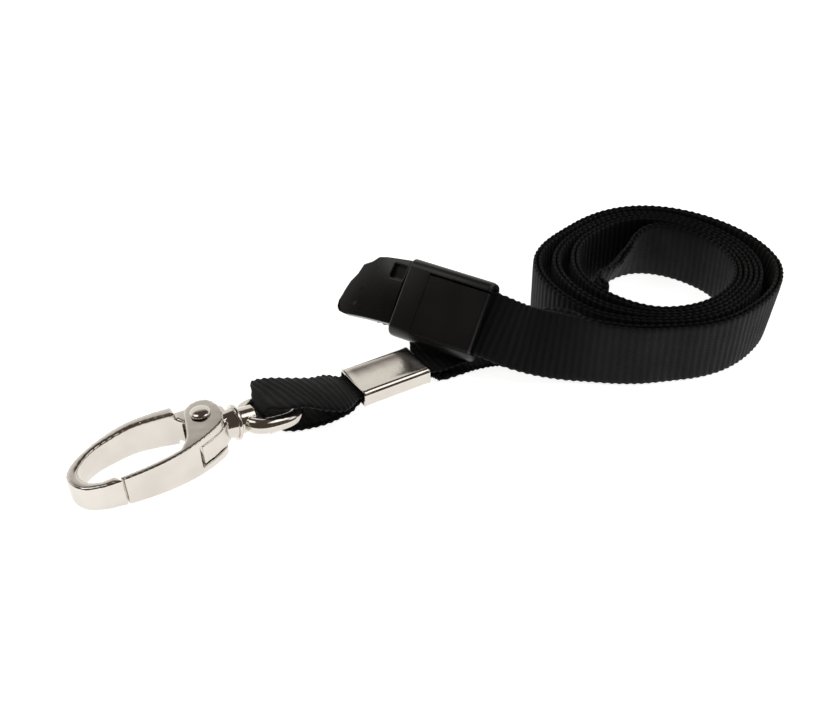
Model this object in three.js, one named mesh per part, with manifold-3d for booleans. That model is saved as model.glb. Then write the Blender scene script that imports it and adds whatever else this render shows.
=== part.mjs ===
// Lanyard, lying on a table: a 15 mm webbing strap wound into a doubled coil, a breakaway buckle,
// a crimp ferrule, and a swivelling oval clip with a sprung gate. Millimetres, +Z up.
import * as THREE from "three";
import { mergeVertices } from "three/addons/utils/BufferGeometryUtils.js";
import Module from "manifold-3d";

const wasm = await Module();
wasm.setup();

// ---------------------------------------------------------------- driving dimensions
const STRAP_WIDTH = 15;
const STRAP_THICK = 1.05;
const LAYER_PITCH = 1.1; // one strap layer to the next where they lie face to face
const GAP = 0.3; // clearance kept between pieces that touch

// coil: the doubled strap seen from above, centre and radius by direction
const COIL_CENTRE = [55, 18.3];
const COIL_START = -110; // degrees, where the strap joins the outer turn
const COIL_TURNS = 3.8;
const COIL_RADIUS = [25.8, 26.0, 27.3, 26.5, 27.4, 26.3, 31.0, 29.7]; // at -90, -45, 0 ... 225 degrees
const COIL_STEP = [2.2, 2.25, 2.4, 2.25, 2.25, 2.6, 4.5, 4.0]; // inward step per turn, same directions

// clip, in its own axes: +X along the swivel axis to the eye, +Y across, +Z through its thickness
const CLIP_PLACE = [-39.8, -29.4, 4.85];
const CLIP_HEADING = 30;
const CLIP_PITCH = 3.15; // half of the body's taper, so its underside lies flat
const CLIP_BASE_HEIGHT = 9.6;
const CLIP_NOSE_HEIGHT = 5.7;
const CLIP_LENGTH = 35.4;
const RUNNING = 0.12; // radial clearance of the pins that turn
const PIVOT = [-5.5, 1.2];
const EAR_THICK = 1.0;
const GATE_WALL = 1.2;
const RIVET_RADIUS = 1.0;
const RIVET_HEAD_RADIUS = 2.2;
const RIVET_HEAD_HEIGHT = 0.8;
const RIVET_FOOT = [1.8, 0.45]; // flush lower head, radius and thickness
const SPRING_RADIUS = 1.75;
const SPRING_WIRE = 0.45;
const SPRING_TURNS = 4;
const SPRING_PITCH = 0.95;
const GATE_SEAM = [-25.5, -8.2];

// swivel eye, in its own axes: +X along the swivel axis, +Y across
const EYE_PITCH = -4;
const EYE_ROLL = -5;
const EYE_HALF_WIDTH = 4.6;
const EYE_BOW_RADIUS = 1.5; // half the wire's thickness at the bow
const EYE_BASE_RADIUS = 1.75;
const EYE_START = 3.6;
const EYE_END = 14.6;
const NECK_RADIUS = 2.5;
const STEM_RADIUS = 1.6;
const STEM_HEAD = [2.2, -3.1, -2.6]; // peened end: radius, start, end
const WASHER_RADIUS = 3.9;
const WASHER_SPAN = [0.7, 1.5];

// ferrule
const FERRULE_PLACE = [-7.7, -8.8, 2.05];
const FERRULE_HEADING = 31.7;
const FERRULE_LENGTH = 16.9;
const FERRULE_WIDTH = 11.2;
const FERRULE_HEIGHT = 4.1;
const FERRULE_WALL = 0.5;

// breakaway buckle, in its own axes: +X to the strap side, +Y across, +Z out of its face
const BUCKLE_PLACE = [5.3, 3.8, 11.35];
const BUCKLE_HEADING = -30.3;
const BUCKLE_TILT = 47.6; // the face leans back from the table by this much
const SOCKET = [21, 18.5, 6];
const SOCKET_ROUND = 1.8;
const FLAP_SPAN = [-4.8, 10.1, -8.3, 6.8]; // x from, x to, y from, y to
const FLAP_THICK = 1.7;
const TONGUE_HALF = 2.3; // half of its thickness
const PRONG = [9, 3.2, 1.9];
const PRONG_HEIGHT = -0.65; // height of the prongs' middle
const PRONG_SPREAD = 4.6;
const TAIL_LEVELS = [-5.05, -3.9, -3.25]; // the folded tail's two layers, and its end on the tongue

const rad = THREE.MathUtils.degToRad;

// ---------------------------------------------------------------- materials
const nickel = new THREE.MeshStandardMaterial({ color: 0xd9d4cc, roughness: 0.18, metalness: 1 });
const steel = new THREE.MeshStandardMaterial({ color: 0x9a9ca0, roughness: 0.35, metalness: 1 });
const plastic = new THREE.MeshStandardMaterial({ color: 0x161617, roughness: 0.42, metalness: 0 });
const webbing = new THREE.MeshStandardMaterial({ color: 0x0e0e10, roughness: 0.9, metalness: 0 });

// ---------------------------------------------------------------- solids
function toSolid(geometry) {
  const bare = geometry.clone();
  bare.deleteAttribute("normal");
  bare.deleteAttribute("uv");
  const merged = mergeVertices(bare, 1e-4);
  return new wasm.Manifold(new wasm.Mesh({
    numProp: 3,
    vertProperties: new Float32Array(merged.attributes.position.array),
    triVerts: new Uint32Array(merged.index.array),
  }));
}

function toGeometry(solid) {
  const mesh = solid.getMesh();
  const geometry = new THREE.BufferGeometry();
  geometry.setAttribute("position", new THREE.BufferAttribute(new Float32Array(mesh.vertProperties), 3));
  geometry.setIndex(new THREE.BufferAttribute(new Uint32Array(mesh.triVerts), 1));
  geometry.computeVertexNormals();
  return geometry;
}

function boxSolid(size, centre) {
  return toSolid(new THREE.BoxGeometry(...size).translate(...centre));
}

// a prism of an outline in the XY plane, from z = low to z = high
function prism(points, low, high, hole = null) {
  const shape = new THREE.Shape(points.map(([x, y]) => new THREE.Vector2(x, y)));
  if (hole) shape.holes.push(new THREE.Path(hole.map(([x, y]) => new THREE.Vector2(x, y))));
  const geometry = new THREE.ExtrudeGeometry(shape, { depth: high - low, bevelEnabled: false });
  return geometry.translate(0, 0, low);
}

// a smooth closed or open run of points through the given ones
function smooth(points, count, closed = false) {
  const curve = new THREE.CatmullRomCurve3(points.map(([x, y]) => new THREE.Vector3(x, y, 0)), closed);
  return curve.getSpacedPoints(count).map((p) => [p.x, p.y]);
}

// a round bar along X
function barX(radius, start, end, sides = 24) {
  const bar = new THREE.CylinderGeometry(radius, radius, end - start, sides);
  return bar.rotateZ(Math.PI / 2).translate((start + end) / 2, 0, 0);
}

// a round tube along a curve
function tube(curve, radius, sides, steps) {
  const ring = new THREE.Shape();
  for (let k = 0; k < sides; k += 1) {
    const angle = (2 * Math.PI * k) / sides;
    ring[k ? "lineTo" : "moveTo"](radius * Math.cos(angle), radius * Math.sin(angle));
  }
  ring.closePath();
  return new THREE.ExtrudeGeometry(ring, { steps, bevelEnabled: false, extrudePath: curve });
}

// a box with rounded long edges along X and small bevels at its two ends
function roundedBlock([length, width, height], radius, bevel) {
  const w = width / 2 - bevel;
  const h = height / 2 - bevel;
  const shape = new THREE.Shape();
  shape.moveTo(-w + radius, -h);
  shape.lineTo(w - radius, -h);
  shape.absarc(w - radius, -h + radius, radius, -Math.PI / 2, 0, false);
  shape.absarc(w - radius, h - radius, radius, 0, Math.PI / 2, false);
  shape.absarc(-w + radius, h - radius, radius, Math.PI / 2, Math.PI, false);
  shape.absarc(-w + radius, -h + radius, radius, Math.PI, Math.PI * 1.5, false);
  const geometry = new THREE.ExtrudeGeometry(shape, {
    depth: length - 2 * bevel, bevelSize: bevel, bevelThickness: bevel, bevelSegments: 2, curveSegments: 3,
  });
  geometry.translate(0, 0, -length / 2 + bevel);
  return geometry.rotateY(Math.PI / 2).rotateX(Math.PI / 2);
}

// ---------------------------------------------------------------- places in the tilted pieces' axes
const ferruleAxes = placing(FERRULE_PLACE, FERRULE_HEADING);
const buckleAxes = placing(BUCKLE_PLACE, BUCKLE_HEADING, 0, BUCKLE_TILT);

function placing(place, heading, pitch = 0, roll = 0) {
  const turn = new THREE.Euler(rad(roll), rad(-pitch), rad(heading), "ZYX");
  const quaternion = new THREE.Quaternion().setFromEuler(turn);
  return new THREE.Matrix4().compose(new THREE.Vector3(...place), quaternion, new THREE.Vector3(1, 1, 1));
}

const inFerrule = (x, y, z) => new THREE.Vector3(x, y, z - FERRULE_PLACE[2]).applyMatrix4(ferruleAxes);
const inBuckle = (x, y, z) => new THREE.Vector3(x, y, z).applyMatrix4(buckleAxes);

// ---------------------------------------------------------------- webbing
// A strap through pairs of points on its two edges.
function strapBetween(pairs, thick = STRAP_THICK) {
  const middles = pairs.map(([near, far]) => near.clone().add(far).multiplyScalar(0.5));
  const last = pairs.length - 1;
  return loft(pairs.map(([near, far], k) => {
    const run = middles[Math.min(k + 1, last)].clone().sub(middles[Math.max(k - 1, 0)]);
    const face = run.cross(far.clone().sub(near)).normalize().multiplyScalar(thick / 2);
    return [near.clone().sub(face), far.clone().sub(face), far.clone().add(face), near.clone().add(face)];
  }));
}

// A strap by stations [x, y, z, lean, width]: a point on its lower edge and how far it leans from
// upright, in degrees, to the left of its run. 90 is flat on the table.
function strapBand(stations, steps = 3) {
  const path = new THREE.CatmullRomCurve3(stations.map(([x, y, z]) => new THREE.Vector3(x, y, z)), false, "centripetal");
  const last = stations.length - 1;
  const pairs = [];
  for (let k = 0; k <= last * steps; k += 1) {
    const place = k / steps;
    const low = Math.min(Math.floor(place), last - 1);
    const blend = THREE.MathUtils.smoothstep(place - low, 0, 1);
    const lean = rad(THREE.MathUtils.lerp(stations[low][3], stations[low + 1][3], blend));
    const width = THREE.MathUtils.lerp(stations[low][4] ?? STRAP_WIDTH, stations[low + 1][4] ?? STRAP_WIDTH, blend);
    const foot = path.getPoint(place / last);
    const run = path.getTangent(place / last).normalize();
    const across = new THREE.Vector3(-run.y, run.x, 0).normalize().multiplyScalar(Math.sin(lean));
    across.add(new THREE.Vector3(0, 0, Math.cos(lean)));
    across.addScaledVector(run, -across.dot(run)).normalize();
    pairs.push([foot, foot.clone().addScaledVector(across, width)]);
  }
  return strapBetween(pairs);
}

// a closed body through a row of four-cornered sections
function loft(sections) {
  const vertices = sections.flat().flatMap((p) => [p.x, p.y, p.z]);
  const faces = [];
  const last = (sections.length - 1) * 4;
  for (let k = 0; k < sections.length - 1; k += 1) {
    for (let j = 0; j < 4; j += 1) {
      const a = k * 4 + j;
      const b = k * 4 + ((j + 1) % 4);
      faces.push(a, b, b + 4, a, b + 4, a + 4);
    }
  }
  faces.push(0, 2, 1, 0, 3, 2, last, last + 1, last + 2, last, last + 2, last + 3);
  return outward(vertices, faces);
}

function outward(vertices, faces) {
  const geometry = new THREE.BufferGeometry();
  geometry.setAttribute("position", new THREE.Float32BufferAttribute(vertices, 3));
  geometry.setIndex(faces);
  if (volume(geometry) < 0) geometry.setIndex(faces.reverse());
  geometry.computeVertexNormals();
  return geometry;
}

function volume(geometry) {
  const position = geometry.attributes.position;
  const index = geometry.index.array;
  let total = 0;
  for (let k = 0; k < index.length; k += 3) {
    const [a, b, c] = [0, 1, 2].map((j) => new THREE.Vector3().fromBufferAttribute(position, index[k + j]));
    total += a.dot(b.cross(c)) / 6;
  }
  return total;
}

// value at an angle from a list of eight, one each 45 degrees from -90, smoothly between
function around(list, degrees) {
  const place = ((((degrees + 90) / 45) % 8) + 8) % 8;
  const low = Math.floor(place);
  const part = place - low;
  const blend = part * part * (3 - 2 * part);
  return THREE.MathUtils.lerp(list[low], list[(low + 1) % 8], blend);
}

// middle of the doubled strap after a given angle of winding
function coilRadius(degrees) {
  return around(COIL_RADIUS, degrees) - (around(COIL_STEP, degrees) * (degrees - COIL_START)) / 360;
}

function coilOutline(startAngle, offset, count) {
  const points = [];
  for (let k = 0; k < count; k += 1) {
    const degrees = startAngle + (360 * k) / count;
    const radius = coilRadius(degrees) + offset;
    const angle = rad(degrees);
    points.push([COIL_CENTRE[0] + radius * Math.cos(angle), COIL_CENTRE[1] + radius * Math.sin(angle)]);
  }
  return points;
}

function strapCoil() {
  const outer = coilOutline(COIL_START + 12, LAYER_PITCH, 60);
  const innerStart = COIL_START + 360 * (COIL_TURNS - 1) + 12;
  const inner = coilOutline(innerStart, -LAYER_PITCH, 60).reverse();
  return prism(outer, 0, STRAP_WIDTH, inner);
}

// from inside the socket to the outer turn of the coil
const SOCKET_END = [1.2, 5.8, 10].map((x) => [...inBuckle(x, -STRAP_WIDTH / 2, 0).toArray(), 90 - BUCKLE_TILT]);
const FRONT_RUN = [
  ...SOCKET_END, [18, -8.6, 4.5, 39], [25, -9.1, 2.4, 34], [31.5, -9, 1.0, 22], [38, -8.9, 0.3, 8],
  [44, -9.3, 0.1, 4], [49.5, -9.2, 0.05, 2],
];

// from the ferrule, under the buckle and behind the front run, to the coil
const SQUEEZED = 9.4; // width of the strap inside the ferrule
const LOWER_LAYER = 1.15; // height of each layer inside the ferrule
const UPPER_LAYER = 2.35;
const FERRULE_MOUTH = 9;
const BACK_RUN = [
  [...inFerrule(0.2, -SQUEEZED / 2, LOWER_LAYER).toArray(), 90, SQUEEZED],
  [...inFerrule(FERRULE_MOUTH, -SQUEEZED / 2, LOWER_LAYER).toArray(), 90, SQUEEZED],
  [4.3, -8.6, 0.56, 90, 13.5], [8, -7.1, 0.56, 90], [13, -4.5, 0.56, 88], [18.3, -3.2, 0.56, 76],
  [22, -4.0, 0.5, 66], [25, -5.0, 0.5, 55], [28, -5.3, 0.4, 42], [31.5, -5.6, 0.3, 25], [35, -6.6, 0.2, 13],
  [38, -7.3, 0.2, 8], [43, -7.6, 0.1, 4.5], [47.5, -7.7, 0.05, 2],
];

// the loop through the eye: upper layer out of the ferrule, down through the eye, back on the table
const CLIP_LOOP = [
  [[-14.3, -22.6, 4.2], [-21.5, -10.6, 3.4]], [[-15.9, -25.9, 5.4], [-24.6, -13.7, 5.0]],
  [[-19.8, -26.8, 6.4], [-29.8, -15.6, 6.4]], [[-23.5, -27.3, 7.6], [-33.8, -16.5, 7.0]],
  [[-27.9, -29.1, 8.3], [-36.6, -17.5, 6.8]], [[-31.6, -28.6, 7.8], [-36.0, -21.0, 7.0]],
  [[-32.8, -27.8, 4.4], [-34.8, -24.6, 4.4]], [[-31.6, -28.0, 1.5], [-34.9, -23.0, 1.5]],
  [[-30.0, -26.2, 0.6], [-36.8, -16.0, 0.6]], [[-27.5, -26.7, 0.6], [-35.5, -14.2, 0.6]],
  [[-20.9, -24.8, 0.6], [-29.3, -12.3, 0.6]], [[-17.1, -22.3, 0.6], [-25.4, -9.8, 0.6]],
  [[-14.6, -20.2, 0.8], [-21.2, -8.5, 0.8]],
];

function clipLoop() {
  const half = SQUEEZED / 2;
  const end = (x, height) => [inFerrule(x, -half, height), inFerrule(x, half, height)];
  const loose = CLIP_LOOP.map(([near, far]) => [new THREE.Vector3(...near), new THREE.Vector3(...far)]);
  const upper = [end(-0.2, UPPER_LAYER), end(-FERRULE_MOUTH, UPPER_LAYER)];
  const lower = [end(-FERRULE_MOUTH, LOWER_LAYER), end(-0.2, LOWER_LAYER)];
  return strapBetween([...upper, ...loose, ...lower]);
}

// the short tail from the ferrule to the tongue: flat under the socket's edge, up behind it, folded
// over a slanting crease, and along the backs of the socket and the tongue
const CREASE = [[9.5, -7.3], [-1.1, 7.7]];
function strapTail() {
  const half = SQUEEZED / 2;
  const [back, front, end] = TAIL_LEVELS;
  const middle = (back + front) / 2;
  const bend = (front - back) / 2;
  const [near, far] = CREASE;
  const length = Math.hypot(far[0] - near[0], far[1] - near[1]);
  const out = [(far[1] - near[1]) / length, (near[0] - far[0]) / length];
  const pairs = [
    [inFerrule(0.2, -half, UPPER_LAYER), inFerrule(0.2, half, UPPER_LAYER)],
    [inFerrule(FERRULE_MOUTH, -half, UPPER_LAYER), inFerrule(FERRULE_MOUTH, half, UPPER_LAYER)],
    [inFerrule(11.5, -5.4, 2.25), inFerrule(11.5, 8.4, 2.25)],
    [inBuckle(7.9, -10.2, -2.3), inBuckle(-5.3, -5.4, -7.3)],
    [inBuckle(9.2, -8.3, -4.7), inBuckle(-4.6, -2.0, back)],
  ];
  for (const turn of [0, 0.33, 0.67, 1]) {
    const push = bend * Math.sin(Math.PI * turn);
    const level = middle - bend * Math.cos(Math.PI * turn);
    pairs.push(CREASE.map(([x, y]) => inBuckle(x + out[0] * push, y + out[1] * push, level)));
  }
  for (const [x, level] of [[-4, front], [-10, front], [-13.5, end], [-20.5, end]]) {
    pairs.push([inBuckle(x, near[1], level), inBuckle(x, far[1], level)]);
  }
  return strapBetween(pairs);
}

// ---------------------------------------------------------------- clip
// half height of the clip's body at a place along it
function clipHalfHeight(x) {
  const part = THREE.MathUtils.clamp(-x / CLIP_LENGTH, 0, 1);
  return THREE.MathUtils.lerp(CLIP_BASE_HEIGHT, CLIP_NOSE_HEIGHT, part) / 2;
}

// a flat outline given the clip's tapering thickness
function taper(geometry, lower = 0) {
  const position = geometry.attributes.position;
  for (let k = 0; k < position.count; k += 1) {
    const half = clipHalfHeight(position.getX(k)) - lower;
    position.setZ(k, Math.sign(position.getZ(k)) * half);
  }
  return geometry;
}

const FAR_OUTER = [[-9.9, 7.1], [-14, 7.9], [-19, 8.2], [-24, 7.3], [-29, 5.3], [-33, 2.8], [-35.1, 0],
  [-35, -3.2], [-33.2, -6.1], [-29.5, -7.7]];
const FAR_INNER = [[-29.5, -5.9], [-31.8, -4.6], [-32.8, -2.6], [-32.8, -0.2], [-31, 2], [-28, 4], [-24, 5.2],
  [-19, 6], [-14, 5.3], [-9.9, 4.3]];
const NEAR_OUTER = [GATE_SEAM, [-21, -8.4], [-17, -8.3], [-13, -7.8], [-9.4, -6.9], [-6, -5.6], [-3.4, -4.2],
  [-2.2, -3.2]];

function clipBody() {
  const seamOuter = [GATE_SEAM[0] - GAP, GATE_SEAM[1]];
  const seamInner = [GATE_SEAM[0] - GAP - 1.1, GATE_SEAM[1] + 2.2];
  const hook = [...smooth(FAR_OUTER, 30), seamOuter, seamInner, ...smooth(FAR_INNER, 26)];
  const arm = toSolid(taper(prism(hook, -1, 1)));
  const blockOutline = [[-10.4, 6.6], [-10.4, 4.6], [-9, 2.2], [-8.4, -1], [-8.1, -3.2], [-5.7, -3.3], [-3.4, -2.2],
    [-0.9, -1.4], [0, -1.5], [0, 3], [-1.6, 5], [-4.5, 6.2]];
  const inside = clipHalfHeight(-10) - EAR_THICK - GAP;
  const block = toSolid(prism(blockOutline, -inside, inside));
  const bossOutline = [[-8.6, -4.6], [-8.6, -6.5], [-6, -5.5], [-3, -3.9], [-0.9, -2.4], [-0.9, -1], [-5, -2]];
  const boss = toSolid(prism(bossOutline, -2.4, 2.4));
  const spring = toSolid(prism([[-11, 2.2], [-11, -1], [-3.4, -1], [-3.4, 3.6], [-7.4, 3.6]], -2.35, 2.35));
  const stemHole = toSolid(alongSwivel(barX(STEM_RADIUS + RUNNING, -3.3, 1)));
  const headPocket = toSolid(alongSwivel(barX(STEM_HEAD[0] + GAP, -3.9, STEM_HEAD[2] + GAP)));
  const solid = arm.add(block).add(boss);
  return [spring, pivotHole(RIVET_RADIUS + RUNNING, 20), stemHole, headPocket].reduce((a, b) => a.subtract(b), solid);
}

// a hole along the pivot's axis, from a given height down
function pivotHole(radius, length, top = length / 2) {
  const hole = new THREE.CylinderGeometry(radius, radius, length, 24).rotateX(Math.PI / 2);
  return toSolid(hole.translate(PIVOT[0], PIVOT[1], top - length / 2));
}

// the swivel's axis tilts a little against the clip's
function alongSwivel(geometry) {
  return geometry.rotateY(rad(CLIP_PITCH - EYE_PITCH));
}

// the gate: outer wall with its notch, and an ear above and below the base block
function clipGate() {
  const outer = smooth(NEAR_OUTER, 24);
  const innerPoints = NEAR_OUTER.map(([x, y]) => [x, y + GATE_WALL]);
  innerPoints[0] = [GATE_SEAM[0] - 0.6, GATE_SEAM[1] + GATE_WALL];
  const inner = smooth(innerPoints, 24).reverse();
  const wall = toSolid(taper(prism([...outer, ...inner], -1, 1)));
  const notch = boxSolid([9, 12, 5.4], [-4.7, -4, 0]);
  const nearEdge = outer.filter(([x]) => x > -13.5);
  const farEdge = smooth([[-1.6, -1.6], [-1.3, 0.8], [-2.4, 4.6], [-5.2, 5.7], [-7.9, 4.3], [-9.2, 0.6], [-10.7, -3.9],
    [-12.8, -6.4]], 14);
  const ear = toSolid(taper(prism([...nearEdge, ...farEdge], -1, 1)));
  const between = taper(prism([[-30, -30], [10, -30], [10, 30], [-30, 30]], -1, 1), EAR_THICK);
  const ears = ear.subtract(toSolid(between));
  const seat = RIVET_FOOT[1] + 0.15 - clipHalfHeight(PIVOT[0]);
  const solid = wall.subtract(notch).add(ears);
  return solid.subtract(pivotHole(RIVET_RADIUS + RUNNING, 20)).subtract(pivotHole(RIVET_FOOT[0] + RUNNING, 5, seat));
}

// pivot rivet: a shank with a domed head on top and a flush one below
function gateRivet() {
  const face = clipHalfHeight(PIVOT[0]);
  const under = face + 0.2;
  const foot = -face + 0.05;
  const profile = [[0, foot], [RIVET_FOOT[0], foot], [RIVET_FOOT[0], foot + RIVET_FOOT[1]],
    [RIVET_RADIUS, foot + RIVET_FOOT[1]], [RIVET_RADIUS, under]];
  for (let k = 0; k <= 5; k += 1) {
    const angle = (Math.PI / 2) * (k / 5);
    profile.push([k < 5 ? RIVET_HEAD_RADIUS * Math.cos(angle) : 0, under + RIVET_HEAD_HEIGHT * Math.sin(angle)]);
  }
  const geometry = new THREE.LatheGeometry(profile.map(([r, y]) => new THREE.Vector2(r, y)), 24);
  return geometry.rotateX(Math.PI / 2).translate(PIVOT[0], PIVOT[1], 0);
}

// return spring: coils around the rivet, one leg on the gate and one on the base block
class SpringPath extends THREE.Curve {
  getPoint(t, target = new THREE.Vector3()) {
    const angle = -2.3 + t * SPRING_TURNS * 2 * Math.PI;
    const rise = (t - 0.5) * SPRING_TURNS * SPRING_PITCH;
    return target.set(PIVOT[0] + SPRING_RADIUS * Math.cos(angle), PIVOT[1] + SPRING_RADIUS * Math.sin(angle), rise);
  }
}

// ---------------------------------------------------------------- swivel eye
class EyePath extends THREE.Curve {
  getPoint(t, target = new THREE.Vector3()) {
    const middle = (EYE_START + EYE_END) / 2;
    const reach = (EYE_END - EYE_START) / 2;
    const angle = t * 2 * Math.PI;
    const round = (value) => Math.sign(value) * Math.abs(value) ** 0.72;
    return target.set(middle + reach * round(Math.cos(angle)), EYE_HALF_WIDTH * round(Math.sin(angle)), 0);
  }
}

function swivelEye() {
  const ring = toSolid(closedTube(new EyePath(), 12, 40));
  const neck = toSolid(barX(NECK_RADIUS, WASHER_SPAN[1] + GAP, EYE_START + EYE_BASE_RADIUS));
  const stem = toSolid(barX(STEM_RADIUS, STEM_HEAD[2] - 0.1, EYE_START));
  const head = toSolid(barX(STEM_HEAD[0], STEM_HEAD[1], STEM_HEAD[2]));
  return ring.add(neck).add(stem).add(head);
}

// the eye's wire: a tube that closes on itself, thinner at the bow
function closedTube(curve, sides, steps) {
  const vertices = [];
  const faces = [];
  for (let k = 0; k < steps; k += 1) {
    const centre = curve.getPoint(k / steps);
    const run = curve.getPoint((k + 0.5) / steps).sub(curve.getPoint((k - 0.5) / steps)).normalize();
    const side = new THREE.Vector3(run.y, -run.x, 0);
    const part = (1 - Math.cos((2 * Math.PI * k) / steps)) / 2;
    const radius = THREE.MathUtils.lerp(EYE_BOW_RADIUS, EYE_BASE_RADIUS, part);
    for (let j = 0; j < sides; j += 1) {
      const angle = (2 * Math.PI * j) / sides;
      const point = centre.clone().addScaledVector(side, radius * Math.cos(angle));
      vertices.push(point.x, point.y, radius * Math.sin(angle));
      const a = k * sides + j;
      const b = k * sides + ((j + 1) % sides);
      const c = ((k + 1) % steps) * sides;
      faces.push(a, c + j, c + ((j + 1) % sides), a, c + ((j + 1) % sides), b);
    }
  }
  return outward(vertices, faces);
}

function swivelWasher() {
  const hole = toSolid(barX(STEM_RADIUS + RUNNING, 0, 3));
  return toSolid(barX(WASHER_RADIUS, WASHER_SPAN[0], WASHER_SPAN[1], 32)).subtract(hole);
}

// ---------------------------------------------------------------- ferrule and buckle
// folded sheet metal, open at both ends
function ferrule() {
  const inside = [FERRULE_LENGTH + 1, FERRULE_WIDTH - 2 * FERRULE_WALL, FERRULE_HEIGHT - 2 * FERRULE_WALL];
  const outer = roundedBlock([FERRULE_LENGTH, FERRULE_WIDTH, FERRULE_HEIGHT], 0.6, 0.1);
  return toSolid(outer).subtract(boxSolid(inside, [0, 0, 0]));
}

function spanBox([x0, x1, y0, y1], z0, z1) {
  return boxSolid([x1 - x0, y1 - y0, z1 - z0], [(x0 + x1) / 2, (y0 + y1) / 2, (z0 + z1) / 2]);
}

// housing with a pocket for the prongs, a pocket for the strap's end, and a window for the flap
function buckleSocket() {
  const end = SOCKET[0] / 2;
  const top = SOCKET[2] / 2;
  const prongs = spanBox([-end - 1, -end + PRONG[0] + 0.6, -6.8, 6.8], PRONG_HEIGHT - 1.25, PRONG_HEIGHT + 1.25);
  const strap = spanBox([0.6, end + 1, -7.8, 7.8], -0.8, 0.95);
  const window = spanBox([FLAP_SPAN[0], end + 1, FLAP_SPAN[2], FLAP_SPAN[3]], top - FLAP_THICK, top + 1);
  const mouth = spanBox([0.6, end + 1, -7.8, FLAP_SPAN[3]], 0, top);
  const housing = toSolid(roundedBlock(SOCKET, SOCKET_ROUND, 0.4));
  return [prongs, strap, window, mouth].reduce((a, b) => a.subtract(b), housing);
}

// flap pressed down over the strap's end, with two biting ribs
function socketFlap() {
  const [x0, x1, y0, y1] = FLAP_SPAN;
  const top = SOCKET[2] / 2;
  const plate = spanBox([x0 + GAP, x1, y0 + GAP, y1 - GAP], top - FLAP_THICK + GAP, top - 0.1);
  const ribs = [3.5, 7].map((x) => spanBox([x, x + 0.8, -6.5, 6.3], 0.85, top - FLAP_THICK + GAP + 0.1));
  return ribs.reduce((a, b) => a.add(b), plate);
}

const TONGUE_OUTLINE = [[-10.8, -7], [-10.8, 8.5], [-17.3, 7.6], [-19.3, 7.1], [-20.6, 5.6], [-22.6, 4.4], [-23.2, 2],
  [-24.6, -0.4], [-25.4, -2.9], [-26, -5.4], [-25.8, -6.9], [-25, -7.8], [-23.4, -8], [-18.5, -7.5]];

// tongue: a plate whose end slopes away, with a latch window and two prongs
function buckleTongue() {
  const high = TONGUE_HALF;
  const side = [[-8, -high], [-8, high], [-18.6, high], [-27, high - 1.9], [-27, -high]];
  const profile = toSolid(prism(side, -10, 10).rotateX(Math.PI / 2));
  const plate = toSolid(prism(TONGUE_OUTLINE, -high, high)).intersect(profile);
  const latch = spanBox([-14.6, -11.3, 3.3, 6.8], 0.9, high + 1);
  const backing = spanBox([-21.4, -12, -6.3, 6.3], -high - 1, 1.4 - high);
  const prongs = [-PRONG_SPREAD, PRONG_SPREAD].map((y) => boxSolid([PRONG[0] + 0.6, PRONG[1], PRONG[2]],
    [-SOCKET[0] / 2 + PRONG[0] / 2 - 0.3, y, PRONG_HEIGHT]));
  return prongs.reduce((a, b) => a.add(b), plate.subtract(latch).subtract(backing));
}

// the tongue's own flap, let into its back
function tongueFlap() {
  return spanBox([-21.1, -12.3, -6, 6], 0.05 - TONGUE_HALF, 1.1 - TONGUE_HALF);
}

// ---------------------------------------------------------------- assembly
const lanyard = new THREE.Group();

function add(parent, name, shape, material) {
  const geometry = shape instanceof wasm.Manifold ? toGeometry(shape) : shape;
  const mesh = new THREE.Mesh(geometry, material);
  mesh.name = name;
  parent.add(mesh);
  return mesh;
}

function frame(place, heading, pitch = 0, roll = 0) {
  const group = new THREE.Group();
  placing(place, heading, pitch, roll).decompose(group.position, group.quaternion, group.scale);
  lanyard.add(group);
  return group;
}

// clip
const clip = frame(CLIP_PLACE, CLIP_HEADING, CLIP_PITCH);
add(clip, "clip_body", clipBody(), nickel);
add(clip, "clip_gate", clipGate(), nickel);
add(clip, "gate_rivet", gateRivet(), nickel);
add(clip, "gate_spring", tube(new SpringPath(), SPRING_WIRE / 2, 6, 60), steel);

// swivel
const eye = frame(CLIP_PLACE, CLIP_HEADING, EYE_PITCH, EYE_ROLL);
add(eye, "swivel_eye", swivelEye(), nickel);
add(eye, "swivel_washer", swivelWasher(), nickel);

// ferrule
add(frame(FERRULE_PLACE, FERRULE_HEADING), "ferrule", ferrule(), nickel);

// buckle
const buckle = frame(BUCKLE_PLACE, BUCKLE_HEADING, 0, BUCKLE_TILT);
add(buckle, "buckle_socket", buckleSocket(), plastic);
add(buckle, "socket_clamp_flap", socketFlap(), plastic);
add(buckle, "buckle_tongue", buckleTongue(), plastic);
add(buckle, "tongue_clamp_flap", tongueFlap(), plastic);

// strap
add(lanyard, "strap_front_run", strapBand(FRONT_RUN), webbing);
add(lanyard, "strap_back_run", strapBand(BACK_RUN), webbing);
add(lanyard, "strap_coil", strapCoil(), webbing);
add(lanyard, "strap_clip_loop", clipLoop(), webbing);
add(lanyard, "strap_tail", strapTail(), webbing);

// the origin is the middle of the whole, at table height
lanyard.updateMatrixWorld(true);
const bounds = new THREE.Box3().setFromObject(lanyard, true);
const middle = bounds.getCenter(new THREE.Vector3());
for (const child of lanyard.children) child.position.sub(new THREE.Vector3(middle.x, middle.y, bounds.min.z));

export default lanyard;
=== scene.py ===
import math

import bmesh
import bpy
import numpy as np
from mathutils import Matrix, Vector


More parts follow.
